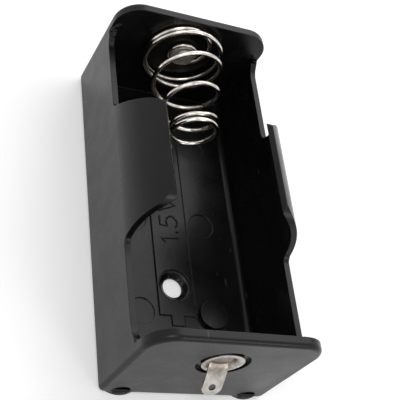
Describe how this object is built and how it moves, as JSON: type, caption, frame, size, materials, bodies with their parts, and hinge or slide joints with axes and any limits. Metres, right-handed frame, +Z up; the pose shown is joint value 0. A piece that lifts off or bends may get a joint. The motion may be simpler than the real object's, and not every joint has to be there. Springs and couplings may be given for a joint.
{
  "type": "cylindrical cell holder",
  "caption": "Open black moulded tray that holds one R20 cell between a riveted contact and a conical spring, with a solder lug outside each end wall and a screw hole in its floor.",
  "frame": {"origin": "middle of the bottom of the tray, on the surface that it rests on", "axes": "+Z up out of the open side, +Y along the cell towards the spring, +X across the tray; the positive contact is at -Y"},
  "size_m": [0.037, 0.086, 0.0286],
  "materials": {
    "black_plastic": "satin moulded",
    "nickel_wire": "bright nickel plate",
    "nickel_rivet": "nickel plate",
    "tinned_sheet": "satin nickel plate"
  },
  "bodies": {
    "tray": {"holder_body": "black_plastic", "spring_rivet": "nickel_rivet", "negative_lug": "tinned_sheet", "positive_rivet": "nickel_rivet", "positive_lug": "tinned_sheet"},
    "spring": {"contact_spring": "nickel_wire"}
  },
  "joints": [
    {"name": "spring_compression", "type": "slide", "parent": "tray", "child": "spring", "axis": [0, 1, 0], "range_m": [0, 0.0142], "stiffness_N_per_m": 500, "deforming": ["contact_spring"]}
  ]
}
